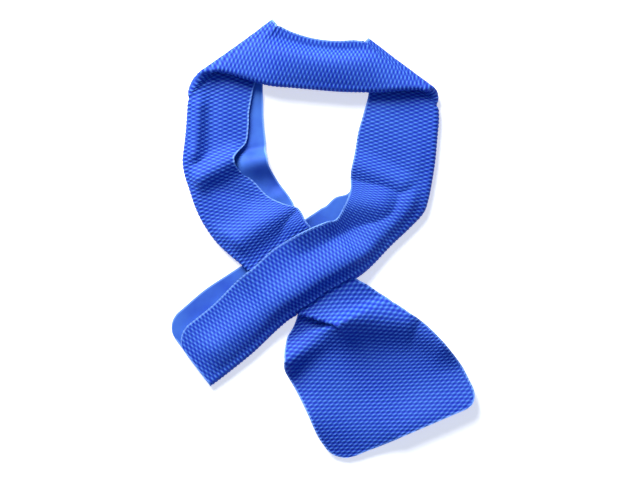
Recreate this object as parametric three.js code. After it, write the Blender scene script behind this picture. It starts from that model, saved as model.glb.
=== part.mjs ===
// Cooling neck wrap: one strip of absorbent sheet, folded lengthwise with its embossed
// face outwards and laid down as an open neck loop. The strip starts at the folded end,
// runs up the right side, turns over itself at the two upper corners, comes down the
// left side, passes between its own leaves and out through a slit, and opens flat.
import * as THREE from "three";
import { mergeVertices } from "three/addons/utils/BufferGeometryUtils.js";

// Driving sizes in millimetres.
const stripLength = 900;
const stripWidth = 145;
const sheetThickness = 1.6;
const layerGap = 0.8;
const cornerRadius = 18;
const pleatRadius = 1.3;

// One layer is a sheet and the air over it. Heights are counted in layers, from the
// middle of a sheet that lies on the surface.
const layer = sheetThickness + layerGap;

// Mesh steps across and along the sheet.
const leafSteps = 6;
const foldSteps = 5;
const pleatSteps = 3;
const flapSteps = 5;
const stepsBetweenSections = 1;
const cornerRollSteps = 6;

// Sections of the folded strip. x and y are the place of the fold's outer edge, in
// shares of the strip's length. way is the direction from the fold to the free edges,
// in degrees. one and two are how far the two leaves reach from the fold, in shares
// of the strip's width. foldOne, foldTwo, edgeOne and edgeTwo are heights in layers.
// arch says how much of the collar's arched profile the section has.
const columns = ["x", "y", "way", "one", "two", "foldOne", "foldTwo", "edgeOne", "edgeTwo", "arch"];

const rightBand = table(columns, [
  [-0.111, -0.145, 127, 0.38, 0.48, 1.6, 0.0, 1.1, 0.0, 0],
  [-0.095, -0.133, 127, 0.38, 0.48, 1.9, 0.0, 1.1, 0.0, 0],
  [-0.069, -0.112, 128, 0.38, 0.485, 2.2, 0.0, 1.1, 0.0, 0],
  [-0.048, -0.092, 129, 0.385, 0.455, 2.8, 0.0, 2.0, 0.0, 0],
  [-0.038, -0.083, 128, 0.385, 0.44, 3.9, 0.0, 3.9, 0.0, 0],
  [-0.030, -0.077, 127, 0.385, 0.43, 4.7, 0.0, 4.6, 0.0, 0],
  [-0.009, -0.065, 125, 0.42, 0.425, 4.9, 0.0, 4.5, 0.0, 0],
  [0.006, -0.054, 122, 0.41, 0.42, 4.9, 0.0, 4.4, 0.0, 0],
  [0.021, -0.0455, 121, 0.405, 0.44, 4.9, 0.0, 4.4, 0.0, 0],
  [0.038, -0.035, 121, 0.385, 0.475, 4.8, 0.0, 3.1, 0.0, 0],
  [0.051, -0.024, 128, 0.355, 0.46, 3.2, 0.0, 1.5, 0.0, 0],
  [0.069, -0.005, 139, 0.375, 0.45, 2.8, 0.0, 1.3, 0.0, 0],
  [0.087, 0.012, 151, 0.42, 0.435, 2.6, 0.0, 1.2, 0.0, 0],
  [0.101, 0.027, 161, 0.47, 0.465, 2.5, 0.0, 1.1, 0.0, 0],
  [0.106, 0.040, 166, 0.49, 0.485, 2.4, 0.0, 1.1, 0.0, 0],
  [0.110, 0.060, 172, 0.50, 0.495, 2.4, 0.0, 1.1, 0.0, 0],
  [0.113, 0.080, 175, 0.495, 0.49, 2.4, 0.0, 1.1, 0.0, 0],
  [0.115, 0.102, 176, 0.485, 0.48, 2.4, 0.0, 1.1, 0.0, 0],
  [0.1165, 0.118, 172, 0.46, 0.455, 2.3, 0.0, 1.1, 0.0, 0],
  [0.1165, 0.127, 164, 0.445, 0.44, 2.2, 0.0, 1.1, 0.0, 0],
  [0.116, 0.131, 154, 0.475, 0.47, 2.1, 0.0, 1.1, 0.0, 0],
  [0.1145, 0.1335, 146, 0.52, 0.515, 2.0, 0.0, 1.1, 0.0, 0],
  [0.1145, 0.136, 139.5, 0.575, 0.57, 2.0, 0.0, 1.1, 0.0, 0],
]);

const topBand = table(columns, [
  [0.106, 0.148, 141.3, 0.49, 0.494, 4.0, 6.0, 3.1, 4.4, 0],
  [0.099, 0.150, 140, 0.452, 0.455, 4.0, 6.2, 3.1, 4.35, 0.04],
  [0.088, 0.150, 134.5, 0.414, 0.417, 3.9, 6.4, 3.0, 4.25, 0.15],
  [0.074, 0.149, 126, 0.376, 0.38, 3.7, 6.6, 2.8, 4.0, 0.4],
  [0.059, 0.148, 116, 0.347, 0.352, 3.5, 6.6, 2.4, 3.6, 0.7],
  [0.041, 0.148, 104.5, 0.321, 0.326, 3.4, 6.6, 1.9, 3.1, 0.9],
  [0.019, 0.1485, 94, 0.305, 0.31, 3.4, 6.6, 1.4, 2.6, 1],
  [-0.006, 0.1505, 89, 0.305, 0.31, 3.4, 6.6, 1.3, 2.5, 1],
  [-0.029, 0.1525, 84, 0.325, 0.33, 3.4, 6.6, 1.5, 2.8, 0.95],
  [-0.051, 0.1545, 75.5, 0.356, 0.361, 3.5, 6.5, 2.1, 3.4, 0.75],
  [-0.071, 0.160, 60, 0.374, 0.378, 3.6, 6.3, 2.6, 3.9, 0.4],
  [-0.091, 0.166, 45, 0.413, 0.416, 3.8, 6.2, 2.95, 4.2, 0.12],
  [-0.1045, 0.1685, 37, 0.455, 0.458, 4.0, 6.1, 3.05, 4.35, 0.03],
  [-0.112, 0.1665, 36, 0.495, 0.498, 4.0, 6.0, 3.1, 4.4, 0],
]);

const leftBand = table(columns, [
  [-0.131, 0.143, 41, 0.675, 0.68, 2.0, 0.0, 1.1, 0.0, 0],
  [-0.131, 0.140, 30, 0.53, 0.535, 2.0, 0.0, 1.1, 0.0, 0],
  [-0.132, 0.136, 15, 0.42, 0.475, 2.1, 0.0, 1.1, 0.0, 0],
  [-0.1325, 0.128, 3, 0.38, 0.465, 2.2, 0.0, 1.1, 0.0, 0],
  [-0.1335, 0.114, 1, 0.38, 0.475, 2.4, 0.0, 1.1, 0.0, 0],
  [-0.135, 0.098, 0, 0.375, 0.495, 2.4, 0.0, 1.2, 0.0, 0],
  [-0.1365, 0.086, 2, 0.335, 0.505, 2.4, 0.0, 1.5, 0.1, 0],
  [-0.137, 0.077, 4, 0.315, 0.52, 2.4, 0.0, 2.0, 0.8, 0],
  [-0.135, 0.065, 6, 0.33, 0.52, 2.4, 0.0, 1.6, 0.3, 0],
  [-0.1305, 0.051, 7, 0.395, 0.535, 2.4, 0.0, 1.2, 0.0, 0],
  [-0.124, 0.032, 9, 0.45, 0.565, 2.4, 0.0, 1.2, 0.0, 0],
  [-0.116, 0.016, 14, 0.505, 0.56, 2.4, 0.0, 1.7, 0.1, 0],
  [-0.104, -0.001, 22, 0.54, 0.525, 2.5, 0.1, 2.6, 0.6, 0],
  [-0.090, -0.0145, 29, 0.51, 0.495, 2.7, 0.7, 2.5, 1.0, 0],
  [-0.078, -0.0245, 34, 0.475, 0.465, 2.7, 1.15, 2.4, 1.15, 0],
  [-0.065, -0.037, 36, 0.465, 0.455, 2.6, 1.15, 2.4, 1.15, 0],
]);

// Share of the way from fold to free edge, and height in layers of the upper leaf,
// where the strip stands up as a collar at the back of the neck.
const archProfile = [
  [0, 6.6], [0.12, 7.6], [0.3, 8.8], [0.48, 9.4], [0.62, 9.0],
  [0.72, 7.0], [0.82, 3.6], [0.9, 1.9], [1, 2.4],
];

// Sections of the open end, from where the lower leaf starts to turn back on itself.
// x and y are where leaf one meets the pleat. wayIn points to the edge of leaf one and
// wayOut to the edge of leaf two, in degrees. one, pleat and flap are widths in shares
// of the strip's width. turn is how far the pleat turns, in degrees. fold, edgeOne
// and edgeTwo are heights in layers.
const openColumns = [
  "x", "y", "wayIn", "wayOut", "one", "pleat", "flap", "turn", "fold", "edgeOne", "edgeTwo",
];
const openEnd = table(openColumns, [
  [-0.052, -0.0495, 36.5, 216.5, 0.455, 0.36, 0.08, 180, 3.4, 3.4, 1.15],
  [-0.039, -0.0615, 36, 216, 0.445, 0.31, 0.18, 180, 3.45, 3.45, 1.15],
  [-0.023, -0.0715, 32, 214, 0.41, 0.25, 0.25, 180, 3.45, 3.45, 1.15],
  [-0.010, -0.0755, 28.5, 208, 0.40, 0.17, 0.285, 178, 3.4, 2.6, 0.8],
  [0.004, -0.080, 25.5, 202, 0.38, 0.07, 0.325, 170, 3.35, 1.6, 0.4],
  [0.012, -0.082, 24.5, 201.5, 0.37, 0.025, 0.345, 135, 3.7, 1.2, 0.2],
  [0.019, -0.0845, 23.5, 201, 0.36, 0.015, 0.355, 95, 3.4, 0.9, 0.1],
  [0.024, -0.0885, 21.5, 201, 0.38, 0.015, 0.365, 60, 2.9, 0.6, 0.0],
  [0.028, -0.093, 19.5, 201.5, 0.395, 0.02, 0.375, 35, 2.0, 0.3, 0.0],
  [0.031, -0.105, 17, 201.5, 0.465, 0.02, 0.37, 12, 0.8, 0.0, 0.0],
  [0.040, -0.125, 20.5, 203, 0.51, 0.02, 0.355, 0, 0.3, 0.0, 0.0],
  [0.051, -0.145, 24.5, 204.5, 0.53, 0.02, 0.36, 0, 0.1, 0.0, 0.0],
  [0.063, -0.165, 26.5, 204, 0.52, 0.02, 0.385, 0, 0.0, 0.0, 0.0],
  [0.078, -0.181, 24.5, 203, 0.50, 0.02, 0.405, 0, 0.0, 0.0, 0.0],
  [0.090, -0.192, 23, 203, 0.485, 0.02, 0.42, 0, 0.0, 0.0, 0.0],
]);

// The slit in the fold lies between these two sections of the right band.
const slitFromSection = 5;
const slitToSection = 9;

// Soft ridges of the upper face. x, y and toX, toY are their ends and half their half
// width, in shares of the strip's length. rise is in layers.
const ridgeColumns = ["x", "y", "toX", "toY", "half", "rise"];
const leafRidges = table(ridgeColumns, [
  [-0.086, 0.078, -0.126, 0.056, 0.012, 1.8],
  [-0.082, 0.012, -0.112, 0.000, 0.014, 1.0],
  [0.036, 0.072, 0.080, 0.056, 0.018, 1.2],
  [0.030, 0.002, 0.066, 0.016, 0.016, 1.2],
  [0.020, 0.040, 0.090, 0.094, 0.020, 0.6],
]);
const openRidges = table(ridgeColumns, [
  [0.016, -0.090, -0.030, -0.117, 0.012, 2.6],
  [0.060, -0.078, 0.110, -0.100, 0.018, 1.6],
  [0.000, -0.160, 0.090, -0.160, 0.022, 1.4],
  [0.040, -0.192, 0.120, -0.164, 0.020, 0.8],
]);

const toRadians = THREE.MathUtils.degToRad;
const mix = THREE.MathUtils.lerp;

function table(names, rows) {
  return rows.map((row) => Object.fromEntries(names.map((name, i) => [name, row[i]])));
}

// A smooth curve through four values in a row.
function smoothValue(a, b, c, d, t) {
  const slopeIn = (c - a) / 2;
  const slopeOut = (d - b) / 2;
  const t2 = t * t;
  const t3 = t2 * t;
  return (2 * t3 - 3 * t2 + 1) * b + (t3 - 2 * t2 + t) * slopeIn
    + (3 * t2 - 2 * t3) * c + (t3 - t2) * slopeOut;
}

// Adds sections between the ones of a table, on a smooth curve through them.
function refined(rows, steps) {
  const result = [];
  const at = (i) => rows[Math.min(Math.max(i, 0), rows.length - 1)];
  for (let i = 0; i < rows.length - 1; i += 1) {
    for (let k = 0; k < steps; k += 1) {
      const row = {};
      for (const name of Object.keys(rows[0])) {
        row[name] = smoothValue(at(i - 1)[name], at(i)[name], at(i + 1)[name], at(i + 2)[name], k / steps);
      }
      result.push(row);
    }
  }
  result.push({ ...at(rows.length - 1) });
  return result;
}

function direction(degrees) {
  return new THREE.Vector3(Math.cos(toRadians(degrees)), Math.sin(toRadians(degrees)), 0);
}

function heightOf(layers) {
  return sheetThickness / 2 + layers * layer;
}

// How much a corner of the given radius takes off the width at this distance
// from the end of the strip.
function cornerInset(fromEnd) {
  const short = Math.max(cornerRadius - fromEnd, 0);
  return cornerRadius - Math.sqrt(cornerRadius ** 2 - short ** 2);
}

function ridgeRise(ridges, point) {
  let rise = 0;
  for (const ridge of ridges) {
    const start = new THREE.Vector2(ridge.x, ridge.y).multiplyScalar(stripLength);
    const along = new THREE.Vector2(ridge.toX, ridge.toY).multiplyScalar(stripLength).sub(start);
    const length = along.length();
    along.normalize();
    const offset = new THREE.Vector2(point.x, point.y).sub(start);
    const run = offset.dot(along);
    const past = Math.max(-run, run - length, 0);
    const side = offset.cross(along);
    const half = ridge.half * stripLength;
    rise += ridge.rise * Math.exp(-(side ** 2 + past ** 2) / half ** 2);
  }
  return rise * layer;
}

// The arched profile's height in layers and its slope at a share of the width.
function archAt(share) {
  const last = archProfile.length - 1;
  let i = 0;
  while (i < last - 1 && share > archProfile[i + 1][0]) i += 1;
  const at = (k) => archProfile[Math.min(Math.max(k, 0), last)];
  const t = (share - at(i)[0]) / (at(i + 1)[0] - at(i)[0]);
  return smoothValue(at(i - 1)[1], at(i)[1], at(i + 1)[1], at(i + 2)[1], t);
}

// Heights of the two leaves at a share of the way from fold to free edge.
function leafHeights(row, share, reach) {
  const easy = share * (2 - share) * 0.5 + share * 0.5;
  let one = mix(row.foldOne, row.edgeOne, easy);
  let two = mix(row.foldTwo, row.edgeTwo, easy);
  if (row.arch > 0) {
    const step = 0.02;
    const from = Math.max(share - step, 0);
    const to = Math.min(share + step, 1);
    const slope = ((archAt(to) - archAt(from)) * layer) / ((to - from) * reach);
    const apart = mix(foldDepth(row), 1.1 * Math.hypot(1, slope * row.arch), Math.min(share * 5, 1));
    two = mix(two, archAt(share), row.arch);
    one = Math.max(mix(one, two - apart, Math.min(row.arch * 4, 1)), 0);
  }
  return { one, two };
}

function foldDepth(row) {
  return Math.abs(row.foldOne - row.foldTwo);
}

// Middle of the sheet across one folded section: edge of leaf one, fold, leaf two.
function foldedSection(row, fromEnd = stripLength) {
  const edge = new THREE.Vector3(row.x, row.y, 0).multiplyScalar(stripLength);
  const inward = direction(row.way);
  const radius = (foldDepth(row) * layer) / 2;
  const reachOne = row.one * stripWidth - cornerInset(fromEnd);
  const reachTwo = row.two * stripWidth - cornerInset(fromEnd);
  const place = (w, layers) => edge.clone().addScaledVector(inward, w).setZ(heightOf(layers));
  const points = [];
  for (let k = leafSteps; k >= 1; k -= 1) {
    const share = k / leafSteps;
    const point = place(mix(radius, reachOne, share), leafHeights(row, share, reachOne).one);
    if (row.foldOne > row.foldTwo) point.z += ridgeRise(leafRidges, point) * Math.min(share * 3, 1);
    points.push(point);
  }
  const middle = (row.foldOne + row.foldTwo) / 2;
  const half = (row.foldOne - row.foldTwo) / 2;
  for (let k = 0; k <= foldSteps; k += 1) {
    const angle = (Math.PI * k) / foldSteps;
    points.push(place(radius * (1 - Math.sin(angle)), middle + half * Math.cos(angle)));
  }
  for (let k = 1; k <= leafSteps; k += 1) {
    const share = k / leafSteps;
    points.push(place(mix(radius, reachTwo, share), leafHeights(row, share, reachTwo).two));
  }
  return points;
}

// Middle of the sheet across one open section: leaf one, pleat, flap of leaf two.
function openSection(row, fromEnd) {
  const start = new THREE.Vector3(row.x, row.y, 0).multiplyScalar(stripLength);
  const inward = direction(row.wayIn);
  const outward = direction(row.wayOut);
  const inset = cornerInset(fromEnd);
  const reachOne = row.one * stripWidth - inset;
  const flap = row.flap * stripWidth - inset;
  const points = [];
  for (let k = leafSteps; k >= 0; k -= 1) {
    const share = k / leafSteps;
    const point = start.clone().addScaledVector(inward, reachOne * share);
    point.z = heightOf(mix(row.fold, row.edgeOne, share));
    point.z += ridgeRise(openRidges, point) * openness(row);
    points.push(point);
  }
  const turn = Math.max(toRadians(row.turn), 0.001);
  const radius = (Math.PI * pleatRadius) / turn;
  const pen = points[points.length - 1].clone();
  let heading = 0;
  const forward = (length, turned, steps) => {
    for (let k = 0; k < steps; k += 1) {
      const half = turned / steps / 2;
      heading += half;
      const chord = turned === 0 ? length / steps : 2 * radius * Math.sin(Math.abs(half));
      pen.addScaledVector(outward, chord * Math.cos(heading));
      pen.z -= chord * Math.sin(heading);
      heading += half;
      points.push(pen.clone());
    }
  };
  forward(0, turn, foldSteps);
  forward(row.pleat * stripWidth, 0, leafSteps);
  forward(0, -turn, pleatSteps);
  const low = pen.z;
  const base = pen.clone();
  for (let k = 1; k <= flapSteps; k += 1) {
    const share = k / flapSteps;
    const point = base.clone().addScaledVector(outward, flap * share);
    point.z = mix(low, heightOf(row.edgeTwo), share);
    point.z += ridgeRise(openRidges, point) * openness(row) * share;
    points.push(point);
  }
  return points;
}

// The ridges of the open end fade out where the pleat is still closed.
function openness(row) {
  return THREE.MathUtils.clamp((180 - row.turn) / 70, 0, 1);
}

// Rolls a section over a corner: each point goes round half a circle, from its
// height before the corner to its height after it.
function cornerRoll(before, after, outward) {
  const rows = [];
  for (let k = 1; k < cornerRollSteps; k += 1) {
    const angle = (Math.PI * k) / cornerRollSteps;
    const share = (1 - Math.cos(angle)) / 2;
    rows.push(before.map((point, i) => {
      const radius = Math.abs(after[i].z - point.z) / 2;
      return point.clone().lerp(after[i], share).addScaledVector(outward, radius * Math.sin(angle));
    }));
  }
  return rows;
}

// All sections in order, from the folded end to the open end.
function sheetRows() {
  const right = refined(rightBand, stepsBetweenSections);
  const endRows = [0, 0.08, 0.3, 0.65].map((share) => ({ ...right[0], share }));
  for (const row of endRows) {
    row.x = mix(right[0].x, right[2].x, row.share * 0.9);
    row.y = mix(right[0].y, right[2].y, row.share * 0.9);
  }
  const endStart = new THREE.Vector2(right[0].x, right[0].y);
  const fromStart = (row) => endStart.distanceTo(new THREE.Vector2(row.x, row.y)) * stripLength;
  const rightRows = [...endRows, ...right.slice(2)].map((row) => foldedSection(row, fromStart(row)));
  const topRows = refined(topBand, stepsBetweenSections).map((row) => foldedSection(row));
  const leftRows = refined(leftBand, stepsBetweenSections).map((row) => foldedSection(row));
  const open = refined(openEnd, stepsBetweenSections);
  const tip = open[open.length - 1];
  const before = open[open.length - 2];
  for (const share of [0.4, 0.75, 0.95]) {
    const row = {};
    for (const name of openColumns) row[name] = mix(before[name], tip[name], share);
    open.splice(open.length - 1, 0, row);
  }
  const endTip = new THREE.Vector2(tip.x, tip.y);
  const toTip = (row) => endTip.distanceTo(new THREE.Vector2(row.x, row.y)) * stripLength;
  const openRows = open.map((row) => openSection(row, toTip(row)));
  const last = (rows) => rows[rows.length - 1];
  const slit = {
    from: endRows.length + slitFromSection * stepsBetweenSections - 2,
    to: endRows.length + slitToSection * stepsBetweenSections - 2,
  };
  const rows = [
    ...rightRows,
    ...cornerRoll(last(rightRows), topRows[0], direction(last(rightBand).way - 90)),
    ...topRows,
    ...cornerRoll(last(topRows), leftRows[0], direction(leftBand[0].way + 90)),
    ...leftRows,
    ...openRows,
  ];
  return { rows, slit, firstOpen: rows.length - openRows.length };
}

// Unit normals of the grid of points, on the embossed side.
function gridNormals(rows) {
  return rows.map((row, i) => row.map((point, j) => {
    const ahead = rows[i + 1]?.[j] ?? point;
    const behind = rows[i - 1]?.[j] ?? point;
    const across = (row[j + 1] ?? point).clone().sub(row[j - 1] ?? point);
    return across.cross(ahead.clone().sub(behind)).normalize();
  }));
}

// Closes the sheet: both faces, and a wall along each edge and round the slit.
function sheetGeometry() {
  const { rows, slit, firstOpen } = sheetRows();
  const normals = gridNormals(rows);
  const wide = rows[rows.length - 1].length;
  const positions = [];
  for (const side of [1, -1]) {
    rows.forEach((row, i) => {
      for (let j = 0; j < wide; j += 1) {
        const point = row[j] ?? row[row.length - 1];
        const normal = normals[i][j] ?? normals[i][row.length - 1];
        const vertex = point.clone().addScaledVector(normal, (side * sheetThickness) / 2);
        positions.push(vertex.x, vertex.y, vertex.z);
      }
    });
  }
  const count = rows.length * wide;
  const lastFoldCell = leafSteps + foldSteps - 1;
  const lastLeafCell = lastFoldCell + leafSteps;
  const inSlit = (i, j) => i >= slit.from && i < slit.to && j > leafSteps && j <= lastFoldCell;
  const beyondEdge = (i, j) => i < firstOpen && j > lastLeafCell;
  const inGrid = (i, j) => i >= 0 && j >= 0 && i < rows.length - 1 && j < wide - 1;
  const solid = (i, j) => inGrid(i, j) && !inSlit(i, j) && !beyondEdge(i, j);
  const index = [];
  const quad = (a, b, c, d) => index.push(a, b, c, a, c, d);
  for (let i = 0; i < rows.length - 1; i += 1) {
    for (let j = 0; j < wide - 1; j += 1) {
      if (!solid(i, j)) continue;
      const a = i * wide + j;
      const b = a + 1;
      const c = b + wide;
      const d = a + wide;
      quad(a, b, c, d);
      quad(a + count, d + count, c + count, b + count);
      if (!solid(i - 1, j)) quad(a, a + count, b + count, b);
      if (!solid(i + 1, j)) quad(c, c + count, d + count, d);
      if (!solid(i, j - 1)) quad(d, d + count, a + count, a);
      if (!solid(i, j + 1)) quad(b, b + count, c + count, c);
    }
  }
  const loose = new THREE.BufferGeometry();
  loose.setAttribute("position", new THREE.Float32BufferAttribute(positions, 3));
  loose.setIndex(index);
  return closedGeometry(mergeVertices(loose, 1e-3));
}

// Drops triangles that have shrunk to a line and centres the sheet over its footprint.
function closedGeometry(merged) {
  const index = merged.getIndex().array;
  const kept = [];
  for (let k = 0; k < index.length; k += 3) {
    const [a, b, c] = [index[k], index[k + 1], index[k + 2]];
    if (a !== b && b !== c && c !== a) kept.push(a, b, c);
  }
  merged.setIndex(kept);
  merged.computeBoundingBox();
  const box = merged.boundingBox;
  merged.translate(-(box.min.x + box.max.x) / 2, -(box.min.y + box.max.y) / 2, -box.min.z);
  return merged;
}

const sheetMaterial = new THREE.MeshStandardMaterial({
  color: 0x2a5ad2,
  roughness: 0.78,
  metalness: 0,
});

const wrap = new THREE.Group();
const sheet = new THREE.Mesh(sheetGeometry(), sheetMaterial);
sheet.name = "wrap_sheet";
wrap.add(sheet);

export default wrap;
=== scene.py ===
"""Cooling neck wrap: an absorbent sheet, embossed on one face, folded lengthwise and laid
down as an open neck loop, with its own end passed through a slit and opened flat."""

import math
from collections import namedtuple

import bmesh
import bpy
import numpy as np
from bpy.props import FloatProperty, FloatVectorProperty, PointerProperty
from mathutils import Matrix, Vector


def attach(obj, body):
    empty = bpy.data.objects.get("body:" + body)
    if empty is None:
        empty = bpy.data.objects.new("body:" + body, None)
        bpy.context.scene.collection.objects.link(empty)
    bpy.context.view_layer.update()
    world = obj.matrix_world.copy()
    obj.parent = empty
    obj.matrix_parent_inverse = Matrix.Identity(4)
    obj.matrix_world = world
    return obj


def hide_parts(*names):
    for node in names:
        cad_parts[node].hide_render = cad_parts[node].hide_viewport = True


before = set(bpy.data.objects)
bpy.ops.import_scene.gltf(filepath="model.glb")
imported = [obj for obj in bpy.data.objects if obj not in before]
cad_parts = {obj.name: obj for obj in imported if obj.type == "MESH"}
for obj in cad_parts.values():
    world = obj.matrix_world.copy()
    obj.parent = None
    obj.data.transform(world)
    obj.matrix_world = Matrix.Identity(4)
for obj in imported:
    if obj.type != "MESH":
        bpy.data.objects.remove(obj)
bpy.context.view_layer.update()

bl_info = {
    "name": "Cooling Neck Wrap",
    "version": (1, 0, 0),
    "blender": (4, 5, 0),
    "location": "View3D > Sidebar > Neck Wrap",
    "description": "Builds an embossed cooling neck wrap that lies as an open loop",
    "category": "Add Mesh",
}

MM = 0.001
SHEET_NODE = "wrap_sheet"

# The strip and how it lies, in millimetres.
STRIP_LENGTH = 900.0
STRIP_WIDTH = 145.0
SHEET_THICKNESS = 1.6
LAYER_GAP = 0.8
LAYER = SHEET_THICKNESS + LAYER_GAP
CORNER_RADIUS = 18.0
PLEAT_RADIUS = 1.3

# The flap falls from the pleat to its own height with this power. The ridges of the open
# end come in over the first degrees by which the pleat opens from a half turn. The least
# turn, in radians, keeps the pleat's radius finite where it is quite open.
FLAP_FALL = 3
OPENING_TURN = 70
LEAST_TURN = 0.001

# In the collar: half the step, in shares of the width, over which the arch's slope is
# taken, how far apart the two leaves are in layers, and the first share of the width and
# of the arch over which they come to that.
SLOPE_STEP = 0.02
LEAVES_APART = 1.1
APART_SHARE = 0.2
ARCH_SHARE = 0.25

# Steps of the smooth surface from which the embossed mesh is drawn.
LEAF_STEPS = 36
FOLD_STEPS = 14
FOLD_MIDDLE = LEAF_STEPS + FOLD_STEPS // 2
PLEAT_STEPS = 8
FLAP_STEPS = 30
SECTION_STEPS = 12
ROLL_STEPS = 26

# Sections of the folded strip. x and y are the place of the fold's outer edge, in
# shares of the strip's length. way is the direction from the fold to the free edges,
# in degrees. one and two are how far the two leaves reach from the fold, in shares
# of the strip's width. fold_one to edge_two are heights in layers. arch says how much
# of the collar's arched profile the section has.
COLUMNS = ("x", "y", "way", "one", "two", "fold_one", "fold_two", "edge_one", "edge_two", "arch")

RIGHT_BAND = (
    (-0.111, -0.145, 127, 0.38, 0.48, 1.6, 0.0, 1.1, 0.0, 0),
    (-0.095, -0.133, 127, 0.38, 0.48, 1.9, 0.0, 1.1, 0.0, 0),
    (-0.069, -0.112, 128, 0.38, 0.485, 2.2, 0.0, 1.1, 0.0, 0),
    (-0.048, -0.092, 129, 0.385, 0.455, 2.8, 0.0, 2.0, 0.0, 0),
    (-0.038, -0.083, 128, 0.385, 0.44, 3.9, 0.0, 3.9, 0.0, 0),
    (-0.030, -0.077, 127, 0.385, 0.43, 4.7, 0.0, 4.6, 0.0, 0),
    (-0.009, -0.065, 125, 0.42, 0.425, 4.9, 0.0, 4.5, 0.0, 0),
    (0.006, -0.054, 122, 0.41, 0.42, 4.9, 0.0, 4.4, 0.0, 0),
    (0.021, -0.0455, 121, 0.405, 0.465, 4.9, 0.0, 4.4, 0.0, 0),
    (0.038, -0.035, 121, 0.385, 0.475, 4.8, 0.0, 3.1, 0.0, 0),
    (0.051, -0.024, 128, 0.355, 0.46, 3.2, 0.0, 1.5, 0.0, 0),
    (0.069, -0.005, 139, 0.375, 0.45, 2.8, 0.0, 1.3, 0.0, 0),
    (0.087, 0.012, 151, 0.42, 0.435, 2.6, 0.0, 1.2, 0.0, 0),
    (0.101, 0.027, 161, 0.47, 0.465, 2.5, 0.0, 1.1, 0.0, 0),
    (0.106, 0.040, 166, 0.49, 0.485, 2.4, 0.0, 1.1, 0.0, 0),
    (0.110, 0.060, 172, 0.50, 0.495, 2.4, 0.0, 1.1, 0.0, 0),
    (0.113, 0.080, 175, 0.495, 0.49, 2.4, 0.0, 1.1, 0.0, 0),
    (0.115, 0.102, 176, 0.485, 0.48, 2.4, 0.0, 1.1, 0.0, 0),
    (0.1165, 0.118, 172, 0.46, 0.455, 2.3, 0.0, 1.1, 0.0, 0),
    (0.1165, 0.127, 164, 0.445, 0.44, 2.2, 0.0, 1.1, 0.0, 0),
    (0.116, 0.131, 154, 0.475, 0.47, 2.1, 0.0, 1.1, 0.0, 0),
    (0.1145, 0.1335, 146, 0.52, 0.515, 2.0, 0.0, 1.1, 0.0, 0),
    (0.1145, 0.136, 139.5, 0.575, 0.57, 2.0, 0.0, 1.1, 0.0, 0),
)

TOP_BAND = (
    (0.106, 0.148, 141.3, 0.49, 0.494, 4.0, 6.0, 2.3, 3.4, 0),
    (0.099, 0.150, 140, 0.452, 0.455, 4.0, 6.2, 2.4, 3.5, 0.04),
    (0.088, 0.150, 134.5, 0.414, 0.417, 3.9, 6.4, 3.0, 4.25, 0.15),
    (0.074, 0.149, 126, 0.376, 0.38, 3.7, 6.6, 2.8, 4.0, 0.4),
    (0.059, 0.148, 116, 0.347, 0.352, 3.5, 6.6, 2.4, 3.6, 0.7),
    (0.041, 0.148, 104.5, 0.321, 0.326, 3.4, 6.6, 1.9, 3.1, 0.9),
    (0.019, 0.1485, 94, 0.305, 0.31, 3.4, 6.6, 1.4, 2.6, 1),
    (-0.006, 0.1505, 89, 0.305, 0.31, 3.4, 6.6, 1.3, 2.5, 1),
    (-0.029, 0.1525, 84, 0.325, 0.33, 3.4, 6.6, 1.5, 2.8, 0.95),
    (-0.051, 0.1545, 75.5, 0.356, 0.361, 3.5, 6.5, 2.1, 3.4, 0.75),
    (-0.071, 0.160, 60, 0.374, 0.378, 3.6, 6.3, 2.6, 3.9, 0.4),
    (-0.091, 0.166, 45, 0.413, 0.416, 3.8, 6.2, 2.95, 4.2, 0.12),
    (-0.1045, 0.1685, 37.5, 0.470, 0.473, 4.0, 6.1, 2.5, 3.6, 0.03),
    (-0.112, 0.1665, 36, 0.515, 0.518, 4.0, 6.0, 2.3, 3.4, 0),
)

LEFT_BAND = (
    (-0.131, 0.143, 40.6, 0.695, 0.70, 2.0, 0.0, 1.1, 0.0, 0),
    (-0.131, 0.140, 30, 0.53, 0.535, 2.0, 0.0, 1.1, 0.0, 0),
    (-0.132, 0.136, 15, 0.42, 0.475, 2.1, 0.0, 1.1, 0.0, 0),
    (-0.1325, 0.128, 3, 0.38, 0.465, 2.2, 0.0, 1.1, 0.0, 0),
    (-0.1335, 0.114, 1, 0.38, 0.475, 2.4, 0.0, 1.1, 0.0, 0),
    (-0.135, 0.098, 0, 0.375, 0.495, 2.4, 0.0, 1.2, 0.0, 0),
    (-0.1365, 0.086, 2, 0.335, 0.505, 2.4, 0.0, 1.5, 0.1, 0),
    (-0.137, 0.077, 4, 0.315, 0.52, 2.4, 0.0, 2.0, 0.8, 0),
    (-0.135, 0.065, 6, 0.33, 0.52, 2.4, 0.0, 1.6, 0.3, 0),
    (-0.1305, 0.051, 7, 0.395, 0.535, 2.4, 0.0, 1.2, 0.0, 0),
    (-0.124, 0.032, 9, 0.45, 0.565, 2.4, 0.0, 1.2, 0.0, 0),
    (-0.116, 0.016, 14, 0.505, 0.56, 2.4, 0.0, 1.7, 0.1, 0),
    (-0.104, -0.001, 22, 0.54, 0.525, 2.5, 0.1, 2.6, 0.6, 0),
    (-0.090, -0.0145, 29, 0.51, 0.495, 2.7, 0.7, 2.5, 1.0, 0),
    (-0.078, -0.0245, 34, 0.475, 0.465, 2.7, 1.15, 2.4, 1.15, 0),
    (-0.065, -0.037, 36, 0.465, 0.455, 2.6, 1.15, 2.4, 1.15, 0),
)

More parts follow.
